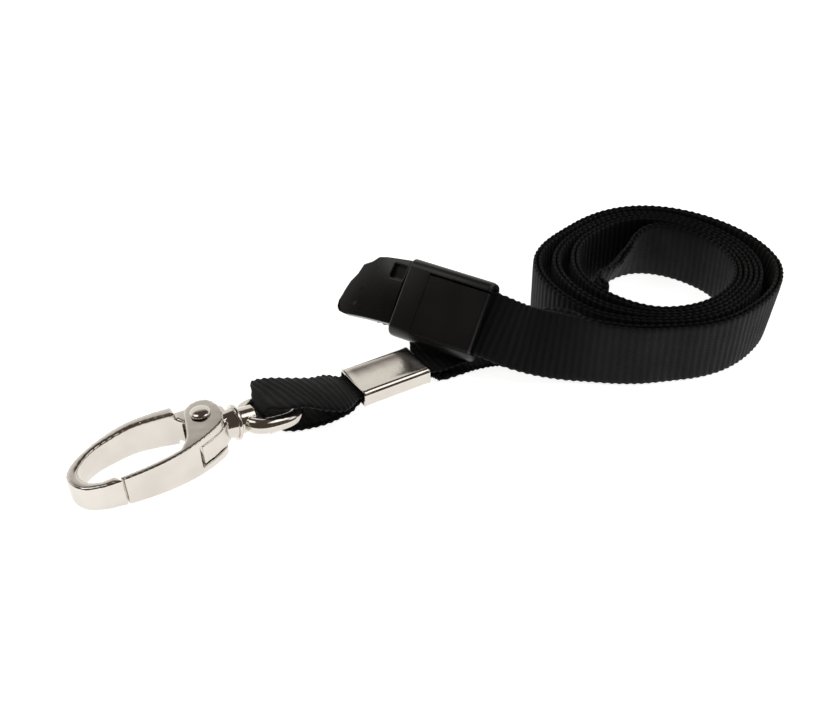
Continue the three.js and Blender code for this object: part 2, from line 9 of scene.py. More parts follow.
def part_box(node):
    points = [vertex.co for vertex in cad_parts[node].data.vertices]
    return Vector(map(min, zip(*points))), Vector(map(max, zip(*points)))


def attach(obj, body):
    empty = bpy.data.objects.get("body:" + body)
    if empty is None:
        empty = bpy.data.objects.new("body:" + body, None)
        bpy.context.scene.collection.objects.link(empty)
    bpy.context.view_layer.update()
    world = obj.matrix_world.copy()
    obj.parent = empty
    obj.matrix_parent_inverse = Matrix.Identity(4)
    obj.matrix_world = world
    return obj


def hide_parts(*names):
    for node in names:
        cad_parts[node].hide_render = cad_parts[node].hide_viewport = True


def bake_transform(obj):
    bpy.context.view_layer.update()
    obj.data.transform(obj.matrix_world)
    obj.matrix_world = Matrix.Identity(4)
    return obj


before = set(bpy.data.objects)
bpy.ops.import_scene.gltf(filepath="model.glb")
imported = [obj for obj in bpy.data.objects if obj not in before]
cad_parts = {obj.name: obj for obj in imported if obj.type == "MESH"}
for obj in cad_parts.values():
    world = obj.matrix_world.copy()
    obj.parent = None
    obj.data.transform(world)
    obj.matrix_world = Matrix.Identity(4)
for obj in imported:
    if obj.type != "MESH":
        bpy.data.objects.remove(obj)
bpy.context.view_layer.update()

MM = 0.001

# ---------------------------------------------------------------- strap
STRAP_WIDTH = 15.0
STRAP_HALF = 0.5  # half of the webbing's thickness on a rib
RIB_PITCH = 1.65
RIB_DEPTH = 0.2  # how far each face falls between ribs
RIB_SAMPLES = 5  # cross-sections in one rib
RIB_DRIFT = [(0.25, 0.9, 5.0), (0.15, 0.37, -9.0)]  # unevenness of the ribs: size, waves along, across
EDGE_THINNING = 0.22
SELVAGE_WAVE = 0.12  # how far the edges bulge at each rib
ACROSS = [0.0, 0.3, 0.6, 0.82, 0.95]  # places across half the width, 1 is the edge

# coil: the doubled strap seen from above, centre and radius by direction
COIL_CENTRE = (55.0, 18.3)
COIL_START = -110.0
COIL_RADIUS = [25.8, 26.0, 27.3, 26.5, 27.4, 26.3, 31.0, 29.7]  # at -90, -45, 0 ... 225 degrees
COIL_STEP = [2.2, 2.25, 2.4, 2.25, 2.25, 2.6, 4.5, 4.0]  # inward step per turn, same directions
COIL_FROM = -82.0  # degrees where the runs join the coil
COIL_TO = 1284.0  # degrees where the doubled strap opens into its last fold
COIL_TUCK = (1225.0, 1272.0, 1.9)  # its end lies back against the turn before: from, to, how far
COIL_STATIONS = 228  # in each strand
STRAND_OFFSET = 0.56  # each strand from the middle of the doubled strap
# how far the strap leans to the left of its run, by winding angle
COIL_LEAN = [(-110, 0), (-45, -4), (0, -10), (45, -6), (90, -2), (160, 0), (1130, 0), (1160, 3), (1180, 17),
             (1200, 27), (1215, 31), (1238, 31), (1255, 23), (1270, 11), (1284, 3)]
FOLD = [(0.9, 0.6), (1.8, 0.75), (2.7, 0.85), (3.3, 0.65), (3.6, 0.0)]  # last fold: along, half opening

# places of the tilted pieces: position, heading, pitch, roll
BUCKLE_TILT = 47.6
CLIP_PLACE = ((-39.8, -29.4, 4.85), 30, 3.15, 0)
EYE_PLACE = ((-39.8, -29.4, 4.85), 30, -4, -5)
FERRULE_PLACE = ((-7.7, -8.8, 2.05), 31.7, 0, 0)
BUCKLE_PLACE = ((5.3, 3.8, 11.35), -30.3, 0, BUCKLE_TILT)

FERRULE = (16.9, 11.2, 4.1)  # length, width, height
FERRULE_WALL = 0.5
FERRULE_ROUND = (1.35, 0.7)  # upper and lower corners
FERRULE_DISH = 0.4  # how far the crimp presses its top in
FERRULE_SLIT = 0.22
FERRULE_MOUTH = 9.0  # where the strap starts to widen, from the middle
SQUEEZED = 9.4  # width of the strap inside the ferrule
LOWER_LAYER = 1.15  # heights of its two layers there
UPPER_LAYER = 2.35
INSIDE_FERRULE = (0.2, FERRULE_MOUTH)  # stations there, from the middle
INSIDE_SOCKET = (1.2, 5.8, 10)  # stations along the buckle
ROUTE_STEPS = 16  # between two stations of a route given by its edges

# stations of the two runs: foot x, y, z, lean, width
FRONT_RUN = [
    (18, -8.6, 4.5, 39, 15), (25, -9.1, 2.4, 34, 15), (31.5, -9, 1.0, 22, 15),
    (38, -8.9, 0.3, 8, 15), (44, -9.3, 0.1, 4, 15), (49.5, -9.2, 0.05, 1, 15)]
BACK_RUN = [
    (4.3, -8.6, 0.56, 90, 13.5), (8, -7.1, 0.56, 90, 15), (13, -4.5, 0.56, 88, 15),
    (18.3, -3.2, 0.56, 76, 15), (22, -4.0, 0.5, 66, 15), (25, -5.0, 0.5, 55, 15),
    (28, -5.3, 0.4, 42, 15), (31.5, -5.9, 0.3, 26, 15), (35, -6.9, 0.2, 13, 15),
    (38, -7.5, 0.2, 8, 15), (43, -7.9, 0.1, 4.5, 15), (47.5, -8.0, 0.05, 2, 15)]

# the loop through the eye, from the ferrule's upper layer round to its lower one:
# near edge, far edge, and how far the middle bows out of the line between them
CLIP_LOOP = [
    ((-14.3, -22.6, 4.2), (-21.5, -10.6, 3.4), 0.9), ((-15.9, -25.9, 5.4), (-24.6, -13.7, 5.0), 0.8),
    ((-19.8, -26.8, 6.4), (-29.8, -15.6, 6.4), 0.6), ((-23.5, -27.3, 7.6), (-33.8, -16.5, 7.0), 0.4),
    ((-27.9, -29.1, 8.3), (-36.6, -17.5, 6.8), 0.3), ((-31.6, -28.6, 7.8), (-36.0, -21.0, 7.0), 0.2),
    ((-32.8, -27.8, 4.4), (-34.8, -24.6, 4.4), 0.0), ((-31.6, -28.0, 1.5), (-34.9, -23.0, 1.5), 0.0),
    ((-30.0, -26.2, 0.6), (-36.8, -16.0, 0.6), 0.0), ((-27.5, -26.7, 0.6), (-35.5, -14.2, 0.6), 0.0),
    ((-20.9, -24.8, 0.6), (-29.3, -12.3, 0.6), 0.0), ((-17.1, -22.3, 0.6), (-25.4, -9.8, 0.6), 0.0),
    ((-14.6, -20.2, 0.8), (-21.2, -8.5, 0.8), 0.0)]

# the tail turns over a crease under the buckle, in the buckle's own axes
CREASE = [(9.5, -7.3), (-1.1, 7.7)]  # near and far end
TAIL_LEVELS = (-5.05, -3.9, -3.25)  # before the crease, after it, and under the tongue
TAIL_DROP = [
    ((7.9, -10.2, -2.3), (-5.3, -5.4, -7.3)),
    ((9.2, -8.3, -4.7), (-4.6, -2.0, TAIL_LEVELS[0]))]  # near and far edge on its way to the crease
TAIL_LEAVES = ((11.5, -5.4, 2.25), (11.5, 8.4, 2.25))  # its edges beside the ferrule, in that one's axes
TAIL_STATIONS = (-4, -10, -13.5, -20.5)  # under the socket and the tongue, along the buckle

# ---------------------------------------------------------------- places


def axes(place, heading, pitch, roll):
    """The matrix of a piece's own axes, in nominal millimetres."""
    turn = Matrix.Rotation(math.radians(heading), 4, "Z") @ Matrix.Rotation(math.radians(-pitch), 4, "Y")
    return Matrix.Translation(place) @ turn @ Matrix.Rotation(math.radians(roll), 4, "X")


def middle_of(node):
    """The middle of a CAD node's box, in metres."""
    low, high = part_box(node)
    return (Vector(low) + Vector(high)) / 2


clip_axes = axes(*CLIP_PLACE)
eye_axes = axes(*EYE_PLACE)
ferrule_axes = axes(*FERRULE_PLACE)
buckle_axes = axes(*BUCKLE_PLACE)
SHIFT = np.array(middle_of("ferrule")) / MM - np.array(FERRULE_PLACE[0])  # nominal to the row's frame


def in_axes(matrix, point):
    """A point given in a piece's own axes, in nominal millimetres."""
    return np.array(matrix @ Vector(point))


def in_ferrule(x, y, z):
    """A point of the ferrule, with z measured from the table."""
    return in_axes(ferrule_axes, (x, y, z - FERRULE_PLACE[0][2]))


def in_buckle(x, y, z):
    return in_axes(buckle_axes, (x, y, z))


def to_row(points):
    """Nominal millimetres to metres in the row's frame."""
    return (np.asarray(points, float) + SHIFT) * MM


# ---------------------------------------------------------------- camera
CAMERA_ELEVATION = 36.0
CAMERA_DISTANCE = 300.0
FOCAL_PIXELS = 1305.0
IMAGE_WIDTH = 840.0


def make_camera():
    """A camera that looks along +Y and down at the nominal origin."""
    data = bpy.data.cameras.new("view")
    data.sensor_width = 36.0
    data.lens = FOCAL_PIXELS / IMAGE_WIDTH * data.sensor_width
    data.clip_start = 0.01
    camera = bpy.data.objects.new("view", data)
    bpy.context.collection.objects.link(camera)
    up = math.radians(CAMERA_ELEVATION)
    camera.location = to_row((0, -CAMERA_DISTANCE * math.cos(up), CAMERA_DISTANCE * math.sin(up)))
    camera.rotation_euler = (math.radians(90 - CAMERA_ELEVATION), 0, 0)
    bpy.context.scene.camera = camera


# ---------------------------------------------------------------- webbing shape


def smooth_rows(rows, steps):
    """Centripetal Catmull-Rom curve through the rows; the first three columns are the place."""
    rows = np.asarray(rows, float)
    rows = np.vstack([2 * rows[0] - rows[1], rows, 2 * rows[-1] - rows[-2]])
    knots = np.sqrt(np.linalg.norm(np.diff(rows[:, :3], axis=0), axis=1))[:, None]
    a, b, c, d = rows[:-3], rows[1:-2], rows[2:-1], rows[3:]
    ta, tb, tc = knots[:-2], knots[1:-1], knots[2:]
    out = []
    for part in np.arange(steps) / steps:
        t = ta + tb * part
        ab = a + (b - a) * t / ta
        bc = b + (c - b) * (t - ta) / tb
        cd = c + (d - c) * (t - ta - tb) / tc
        abc = ab + (bc - ab) * t / (ta + tb)
        bcd = bc + (cd - bc) * (t - ta) / (tb + tc)
        out.append(abc + (bcd - abc) * (t - ta) / tb)
    curve = np.stack(out, 1).reshape(-1, rows.shape[1])
    return np.vstack([curve, rows[-2]])


def edges_of(stations, steps=10):
    """Near edge, far edge and bow along stations of foot, lean and width."""
    curve = smooth_rows(stations, steps)
    foot = curve[:, :3]
    run = np.gradient(foot, axis=0)
    run /= np.linalg.norm(run, axis=1)[:, None]
    left = np.stack([-run[:, 1], run[:, 0], np.zeros(len(run))], 1)
    left /= np.linalg.norm(left, axis=1)[:, None]
    lean = np.radians(curve[:, 3:4])
    across = left * np.sin(lean) + np.array([0, 0, 1.0]) * np.cos(lean)
    across -= run * (across * run).sum(1)[:, None]
    across /= np.linalg.norm(across, axis=1)[:, None]
    return np.hstack([foot, foot + across * curve[:, 4:5], np.zeros((len(foot), 1))])


def around(values, degrees):
    """A smooth value between eight given at every 45 degrees, from -90 on."""
    place = ((degrees + 90) / 45) % 8
    low = int(place)
    part = place - low
    blend = part * part * (3 - 2 * part)
    return values[low] * (1 - blend) + values[(low + 1) % 8] * blend


def coil_radius(degrees):
    start, end, tuck = COIL_TUCK
    part = min(1, max(0, (degrees - start) / (end - start)))
    turns = (degrees - COIL_START) / 360
    wound = around(COIL_RADIUS, degrees) - around(COIL_STEP, degrees) * turns
    return wound + tuck * part * part * (3 - 2 * part)


def coil_point(degrees, offset):
    radius = coil_radius(degrees) + offset
    angle = math.radians(degrees)
    return COIL_CENTRE[0] + radius * math.cos(angle), COIL_CENTRE[1] + radius * math.sin(angle)


def coil_strand(side):
    """Stations of one strand, from the runs to the last fold; side is 1 for the outer strand."""
    stations = []
    for degrees in np.linspace(COIL_FROM, COIL_TO, COIL_STATIONS):
        lean = float(np.interp(degrees, *zip(*COIL_LEAN)))
        tip = math.sin(math.radians(lean))
        x, y = coil_point(degrees, side * STRAND_OFFSET * math.cos(math.radians(lean)))
        stations.append((x, y, STRAND_OFFSET * (abs(tip) + side * tip), lean, STRAP_WIDTH))
    return stations


def last_fold():
    """Stations of the teardrop where the doubled strap turns back."""
    start = np.array(coil_point(COIL_TO, 0))
    run = start - np.array(coil_point(COIL_TO - 3, 0))
    run /= np.linalg.norm(run)
    right = np.array([run[1], -run[0]])
    stations = []
    for side, steps in ((1, FOLD), (-1, FOLD[-2::-1])):
        for along, half in steps:
            lean = side * COIL_LEAN[-1][1] * min(1, half / STRAND_OFFSET)
            rise = half * math.sin(math.radians(COIL_LEAN[-1][1])) * (1 + side)
            stations.append((*(start + run * along + right * side * half), rise, lean, STRAP_WIDTH))
    return stations


def turned(stations):
    """The same stations walked the other way."""
    return [(x, y, z, -lean, width) for x, y, z, lean, width in reversed(stations)]


def in_socket(x):
    """A station of the strap's end inside the socket."""
    return (*in_buckle(x, -STRAP_WIDTH / 2, 0), 90 - BUCKLE_TILT, STRAP_WIDTH)


def main_route():
    """Near edge, far edge and bow of the whole strap, from the socket to the ferrule's upper layer."""
    half = SQUEEZED / 2
    out = [in_socket(x) for x in INSIDE_SOCKET] + FRONT_RUN + coil_strand(1) + last_fold()
    lower = [(*in_ferrule(x, -half, LOWER_LAYER), 90, SQUEEZED) for x in INSIDE_FERRULE]
    back = turned(lower + BACK_RUN + coil_strand(-1))
    upright = edges_of(out + back)

    def inside(x, height):
        return (*in_ferrule(x, -half, height), *in_ferrule(x, half, height), 0.0)

    loop = [(*near, *far, bow) for near, far, bow in reversed(CLIP_LOOP)]
    pairs = [inside(x, LOWER_LAYER) for x in (-0.4, -4, -FERRULE_MOUTH)]
    pairs += loop
    pairs += [inside(x, UPPER_LAYER) for x in (-FERRULE_MOUTH, -4, -0.2)]
    return np.vstack([upright, smooth_rows(pairs, ROUTE_STEPS)])


def tail_route():
    """The same of the short end, from the ferrule's upper layer round the crease to the tongue."""
    half = SQUEEZED / 2
    back, front, end = TAIL_LEVELS
    near, far = CREASE
    reach = math.hypot(far[0] - near[0], far[1] - near[1])
    out = ((far[1] - near[1]) / reach, (near[0] - far[0]) / reach)
    pairs = [(in_ferrule(x, -half, UPPER_LAYER), in_ferrule(x, half, UPPER_LAYER)) for x in INSIDE_FERRULE]
    pairs.append(tuple(in_ferrule(*edge) for edge in TAIL_LEAVES))
    pairs += [tuple(in_buckle(*edge) for edge in edges) for edges in TAIL_DROP]
    for turn in (0, 0.33, 0.67, 1):
        push = (front - back) / 2 * math.sin(math.pi * turn)
        level = (front + back) / 2 - (front - back) / 2 * math.cos(math.pi * turn)
        pairs.append(tuple(in_buckle(x + out[0] * push, y + out[1] * push, level) for x, y in CREASE))
    for x, level in zip(TAIL_STATIONS, (front, front, end, end)):
        pairs.append((in_buckle(x, near[1], level), in_buckle(x, far[1], level)))
    return smooth_rows([(*a, *b, 0.0) for a, b in pairs], ROUTE_STEPS)


def evenly(route):
    """The distance gone and the route's row at even steps, a few to each rib."""
    middle = (route[:, :3] + route[:, 3:6]) / 2
    gone = np.concatenate([[0], np.cumsum(np.linalg.norm(np.diff(middle, axis=0), axis=1))])
    length = float(gone[-1])
    along = np.linspace(0, length, int(length / RIB_PITCH * RIB_SAMPLES))
    return along, np.stack([np.interp(along, gone, route[:, k]) for k in range(7)], 1)


def section():
    """Places round the webbing: across half its width, and the side, which is 0 on an edge."""
    places = [-v for v in reversed(ACROSS[1:])] + ACROSS
    faces = [[(v, 1.0) for v in places], [(v, -1.0) for v in reversed(places)]]
    return faces[0] + [(1.0, 0.0)] + faces[1] + [(-1.0, 0.0)]


def woven(along, rows, ring):
    """Points of the ribbed faces and wavy edges, a ring of them at each step."""
    near, far, bow = rows[:, :3], rows[:, 3:6], rows[:, 6:7]
    middle = (near + far) / 2
    across = far - near
    width = np.linalg.norm(across, axis=1)[:, None]
    across /= width
    run = np.gradient(middle, axis=0)
    face = np.cross(run, across)
    face /= np.linalg.norm(face, axis=1)[:, None]
    phase = 2 * np.pi * along / RIB_PITCH
    wave = np.cos(phase)[:, None]
    columns = []
    for v, side in ring:
        drift = sum(size * np.sin(along * lengthwise + crosswise * v)
                    for size, lengthwise, crosswise in RIB_DRIFT)
        ribs = np.cos(phase + drift)[:, None]
        thick = STRAP_HALF * (1 - EDGE_THINNING * abs(v) ** 6) - RIB_DEPTH * (0.5 - 0.5 * ribs)
        half = width / 2 + SELVAGE_WAVE * (wave - 0.5)
        lift = bow * (1 - v * v) + side * thick
        columns.append(middle + across * (half * v) + face * lift)
    return to_row(np.stack(columns, 1).reshape(-1, 3))


def web(name, route):
    """A ribbed band of webbing along a route; returns the object and its length in millimetres."""
    along, rows = evenly(route)
    ring = section()
    points = woven(along, rows, ring)
    count, size = len(along), len(ring)
    k = np.arange(count - 1)[:, None] * size
    j = np.arange(size)[None, :]
    n = (j + 1) % size
    quads = np.stack([k + j, k + size + j, k + size + n, k + n], -1).reshape(-1, 4)
    ends = [list(range(size)), list(range((count - 1) * size, count * size))[::-1]]
    mesh = bpy.data.meshes.new(name)
    mesh.from_pydata(points.tolist(), [], quads.tolist() + ends)
    uv = mesh.uv_layers.new(name="weave")
    flat = np.stack([np.repeat(along, size), np.tile([v * STRAP_WIDTH / 2 for v, _ in ring], count)], 1)
    spots = np.empty(len(mesh.loops), int)
    mesh.loops.foreach_get("vertex_index", spots)
    uv.data.foreach_set("uv", flat[spots].ravel())
    mesh.shade_smooth()
    mesh.validate()
    return link(name, mesh), float(along[-1])


# ---------------------------------------------------------------- solids


def link(name, mesh):
    """A new object with this mesh in the scene."""
    piece = bpy.data.objects.new(name, mesh)
    bpy.context.collection.objects.link(piece)
    return piece


def bmesh_object(name, bm):
    """A new object from a bmesh, with its faces pointing out."""
    bmesh.ops.recalc_face_normals(bm, faces=bm.faces)
    mesh = bpy.data.meshes.new(name)
    bm.to_mesh(mesh)
    bm.free()
    return link(name, mesh)


def placed(piece, matrix):
    """Moves a piece built in its own millimetres to its place in the row's frame."""
    to_place = Matrix.Scale(MM, 4) @ Matrix.Translation(SHIFT) @ matrix
    piece.data.transform(to_place)
    return piece


def copy_of(node, name):
    """A copy of a CAD node's mesh with its doubled corners joined."""
    bm = bmesh.new()
    bm.from_mesh(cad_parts[node].data)
    bmesh.ops.remove_doubles(bm, verts=bm.verts, dist=1e-6)
    return bmesh_object(name, bm)


def apply_modifiers(piece):
    """Replaces a piece's mesh by what its modifiers make of it."""
    depsgraph = bpy.context.evaluated_depsgraph_get()
    mesh = bpy.data.meshes.new_from_object(piece.evaluated_get(depsgraph))
    piece.modifiers.clear()
    piece.data = mesh
    mesh.name = piece.name


def cast(piece, voxel, rounds, keep):
    """Rounds a metal casting: a fine remesh, smoothing, then fewer triangles."""
    remesh = piece.modifiers.new("remesh", "REMESH")
    remesh.mode = "VOXEL"
    remesh.voxel_size = voxel * MM
    relax = piece.modifiers.new("relax", "SMOOTH")
    relax.factor = 0.5
    relax.iterations = rounds
    fewer = piece.modifiers.new("fewer", "DECIMATE")
    fewer.ratio = keep
    apply_modifiers(piece)
    piece.data.shade_smooth()
    return piece


def eased(piece, width, segments=3, sharp=28):
    """Rounds the sharp edges of a moulded piece with a narrow bevel."""
    bm = bmesh.new()
    bm.from_mesh(piece.data)
    bmesh.ops.dissolve_limit(bm, angle_limit=math.radians(1.5), verts=bm.verts, edges=bm.edges)
    bm.to_mesh(piece.data)
    bm.free()
    bevel = piece.modifiers.new("bevel", "BEVEL")
    bevel.width = width * MM
    bevel.segments = segments
    bevel.limit_method = "ANGLE"
    bevel.angle_limit = math.radians(sharp)
    bevel.harden_normals = True
    piece.data.shade_smooth()
    apply_modifiers(piece)
    return piece


def skin(bm, rings, closed=False):
    """Joins rings of corners by faces; a ring of one corner is a tip, and closed joins last to first."""
    for one, two in zip(rings, rings[1:] + rings[:1] if closed else rings[1:]):
        size = max(len(one), len(two))
        for k in range(size):
            n = (k + 1) % size
            spots = [one[k % len(one)], two[k % len(two)], two[n % len(two)], one[n % len(one)]]
            spots = list(dict.fromkeys(spots))
            if len(spots) > 2:
                bm.faces.new(spots)


def turned_piece(name, profile, sides=64, ring=False):
    """A body turned about its own X axis from (x, radius) points; a ring's profile closes on itself."""
    bm = bmesh.new()
    rings = []
    for x, radius in profile:
        if radius < 1e-6:
            rings.append([bm.verts.new((x, 0, 0))])
            continue
        turn = [2 * math.pi * k / sides for k in range(sides)]
        rings.append([bm.verts.new((x, radius * math.cos(a), radius * math.sin(a))) for a in turn])
    skin(bm, rings, closed=ring)
    piece = bmesh_object(name, bm)
    piece.data.shade_smooth()
    piece.data.set_sharp_from_angle(angle=math.radians(40))
    return piece


# ---------------------------------------------------------------- swivel, rivet
# distances from the clip's end along the swivel's axis, and across it
EYE_HALF_WIDTH = 4.6
EYE_BOW_RADIUS = 1.5
EYE_BASE_RADIUS = 1.75
EYE_START = 3.6
EYE_END = 14.6
NECK_RADIUS = 2.8
STEM_RADIUS = 1.6
STEM_HEAD = (2.2, -3.1, -2.6)  # the peened head: radius, start, end
SWIVEL_PLAY = 0.12
WASHER_RADIUS = 3.9
WASHER_SPAN = (0.7, 1.5)
WASHER_BOSS = (-1.6, 2.9, 3.3)  # its boss against the clip: start, first and last radius
PIVOT = (-5.5, 1.2)
CLIP_HEIGHTS = (9.6, 5.7)  # at its base and at its nose
CLIP_LENGTH = 35.4
RIVET_RADIUS = 1.0
RIVET_HEAD = (2.2, 0.8)  # radius, height
RIVET_FOOT = (1.8, 0.45)
RIVET_RIM = 0.12  # the straight edge under its dome


def eye_point(turn):
    """The middle of the eye's bar, round its D-shaped loop."""
    middle = (EYE_START + EYE_END) / 2
    reach = (EYE_END - EYE_START) / 2

    def squared(value):
        return math.copysign(abs(value) ** 0.72, value)

    return Vector((middle + reach * squared(math.cos(turn)), EYE_HALF_WIDTH * squared(math.sin(turn)), 0))


def make_eye():
    """The eye's loop with its neck, its stem and the peened head, cast as one."""
    steps, sides = 96, 24
    bm = bmesh.new()
    rings = []
    for k in range(steps):
        turn = 2 * math.pi * (k + 0.5) / steps
        run = (eye_point(turn + 0.02) - eye_point(turn - 0.02)).normalized()
        side = Vector((run.y, -run.x, 0))
        part = (1 - math.cos(turn)) / 2
        radius = EYE_BOW_RADIUS * (1 - part) + EYE_BASE_RADIUS * part
        ring = []
        for j in range(sides):
            angle = 2 * math.pi * j / sides
            rise = Vector((0, 0, radius * math.sin(angle)))
            ring.append(bm.verts.new(eye_point(turn) + side * (radius * math.cos(angle)) + rise))
        rings.append(ring)
    skin(bm, rings, closed=True)
    eye = bmesh_object("swivel_eye_cast", bm)
    head, head_start, head_end = STEM_HEAD
    neck_start = WASHER_SPAN[1] + 0.3
    neck_end = EYE_START + EYE_BASE_RADIUS
    post = turned_piece("post", [
        (head_start, 0), (head_start, head - 0.3), (head_start + 0.25, head), (head_end, head),
        (head_end + 0.1, STEM_RADIUS), (neck_start, STEM_RADIUS), (neck_start, NECK_RADIUS),
        (neck_end - 0.2, NECK_RADIUS), (neck_end, NECK_RADIUS - 0.4), (neck_end, 0)])
    whole = bmesh.new()
    whole.from_mesh(eye.data)
    whole.from_mesh(post.data)
    bmesh.ops.triangulate(whole, faces=whole.faces)
    whole.to_mesh(eye.data)
    whole.free()
    bpy.data.objects.remove(post)
    return cast(placed(eye, eye_axes), 0.1, 8, 0.5)


def make_washer():
    """The swivel's collar: a thin flange with a rounded rim, on a boss against the clip."""
    inner = STEM_RADIUS + SWIVEL_PLAY
    start, end = WASHER_SPAN
    half = (end - start) / 2
    swell = half * 0.35
    rim = [((start + end) / 2 - half * math.cos(a), WASHER_RADIUS - swell + swell * math.sin(a))
           for a in np.linspace(0, math.pi, 9)]
    boss = [(WASHER_BOSS[0], inner), WASHER_BOSS[:2], (start, WASHER_BOSS[2])]
    piece = turned_piece("swivel_collar", [*boss, *rim, (end, inner)], ring=True)
    return placed(piece, eye_axes)


def make_rivet():
    """The gate's pivot: a flat foot, a shank and a domed head."""
    base, nose = CLIP_HEIGHTS
    height = (base + (nose - base) * -PIVOT[0] / CLIP_LENGTH) / 2
    foot = -height + 0.05
    top = height + 0.2
    foot_radius, foot_height = RIVET_FOOT
    head_radius, head_height = RIVET_HEAD
    dome = [(top + RIVET_RIM + (head_height - RIVET_RIM) * math.sin(a), head_radius * math.cos(a) ** 0.8)
            for a in np.linspace(0, math.pi / 2 - 0.001, 10)]
    profile = [(foot, 0), (foot, foot_radius - 0.15), (foot + 0.15, foot_radius),
               (foot + foot_height, foot_radius), (foot + foot_height, RIVET_RADIUS), (top, RIVET_RADIUS),
               (top, head_radius - 0.1), *dome, (top + head_height, 0)]
    piece = turned_piece("pivot_rivet", profile)
    upright = Matrix.Translation((PIVOT[0], PIVOT[1], 0)) @ Matrix.Rotation(-math.pi / 2, 4, "Y")
    return placed(piece, clip_axes @ upright)


# ---------------------------------------------------------------- ferrule


def corners(width, height, bends, steps=6):
    """The four rounded corners of a section in (y, z), lower right first, each a list of points."""
    middles = [(1, -1, -90), (1, 1, 0), (-1, 1, 90), (-1, -1, 180)]
    out = []
    for (side, up, start), bend in zip(middles, bends):
        y, z = side * (width / 2 - bend), up * (height / 2 - bend)
        turn = [math.radians(start + 90 * k / steps) for k in range(steps + 1)]
        out.append([(y + bend * math.cos(a), z + bend * math.sin(a)) for a in turn])
    return out


def sleeve_outline(width, height, upper, lower):
    """Outline of the sleeve from one side of its slit round to the other, with a dished top."""
    one, two, three, four = corners(width, height, (lower, upper, upper, lower))
    top = [(two[-1][0] * (1 - k / 5), height / 2) for k in range(1, 10)]
    slit = FERRULE_SLIT / 2
    points = [(slit, -height / 2), *one, *two, *top, *three, *four, (-slit, -height / 2)]
    reach = width / 2
    return [(y, z - FERRULE_DISH * (1 - (y / reach) ** 2) if z > 0 else z) for y, z in points]


def make_ferrule():
    """The crimped sleeve: a wall between two outlines, a little pinched behind its rolled ends."""
    length, width, height = FERRULE
    wall = FERRULE_WALL
    upper, lower = FERRULE_ROUND
    ends = [(0.0, 0.12), (0.06, 0.04), (0.16, 0.0), (0.45, 0.0), (0.9, 0.05), (2.2, 0.06)]
    stations = [(-length / 2 + at, pinch) for at, pinch in ends]
    stations += [(length / 2 - at, pinch) for at, pinch in reversed(ends)]
    bm = bmesh.new()
    rings = []
    for x, pinch in stations:
        outer = sleeve_outline(width - 2 * pinch, height - 2 * pinch, upper, lower)
        inner = sleeve_outline(width - 2 * wall, height - 2 * wall, upper - wall, lower - wall)
        rings.append([bm.verts.new((x, y, z)) for y, z in outer + inner[::-1]])
    skin(bm, rings)
    size = len(rings[0])
    half = size // 2
    for ring in (rings[0], rings[-1]):
        for k in range(half - 1):
            bm.faces.new((ring[k], ring[k + 1], ring[size - 2 - k], ring[size - 1 - k]))
    piece = bmesh_object("crimp_ferrule", bm)
    piece.data.shade_smooth()
    piece.data.set_sharp_from_angle(angle=math.radians(50))
    return placed(piece, ferrule_axes)


# ---------------------------------------------------------------- buckle
SOCKET = (21.0, 18.5, 6.0)  # length, width, height
SOCKET_ROUND = (2.0, 2.3, 2.6, 2.0)  # corner radii of its section, lower front first
SOCKET_END = 0.7  # rounding of its two ends
FLAP = (-4.8, -8.0, 6.8)  # x from, y from, y to; it runs to the socket's end
FLAP_DEPTH = 1.7
FLAP_SEAM = 0.1
FLAP_SLOT = 0.5  # the wider gap along the flap's upper side
SOCKET_POCKET = (9.6, 6.8, -1.9, 0.6)  # for the prongs: length, half width, z from, z to
SOCKET_MOUTH = (0.6, 7.8, -0.8, 0.95)  # for the strap: x from, half width, z from, z to

TONGUE_FACE = 2.3  # height of its flat face
TONGUE_FALL = (-18.6, 8.4, 1.9)  # the CAD face's plain slope: start, length, fall
TONGUE_BEND = (-13.0, 13.0, 1.9)  # the rounded slope that takes its place
TONGUE_CROWN = (8.0, 0.8)  # half width, and how far the face falls to its sides
TONGUE_TOP = (-10.8, 0.3)  # only what is beyond this x and above this z is reshaped


def rounded_bar(name):
    """The socket's outside as one solid."""
    length, width, height = SOCKET
    bm = bmesh.new()
    rings = []
    turns = [math.pi / 2 * k / 5 for k in range(6)]
    ends = [(SOCKET_END * (1 - math.sin(a)), SOCKET_END * (1 - math.cos(a))) for a in reversed(turns)]
    stations = [(-length / 2 + at, inset) for at, inset in ends]
    stations += [(length / 2 - at, inset) for at, inset in reversed(ends)]
    for x, inset in stations:
        bends = [bend - inset for bend in SOCKET_ROUND]
        outline = sum(corners(width - 2 * inset, height - 2 * inset, bends), [])
        rings.append([bm.verts.new((x, y, z)) for y, z in outline])
    skin(bm, rings)
    bm.faces.new(rings[0])
    bm.faces.new(rings[-1])
    return bmesh_object(name, bm)


def cut(piece, x, y, z, operation="DIFFERENCE"):
    """Cuts a box out of a piece, or keeps only what is in the box; x, y, z are (from, to)."""
    bm = bmesh.new()
    bmesh.ops.create_cube(bm, size=1)
    for vert in bm.verts:
        vert.co = [span[0] if side < 0 else span[1] for side, span in zip(vert.co, (x, y, z))]
    tool = bmesh_object("tool", bm)
    carve = piece.modifiers.new("carve", "BOOLEAN")
    carve.operation = operation
    carve.object = tool
    carve.solver = "EXACT"
    apply_modifiers(piece)
    bpy.data.objects.remove(tool)


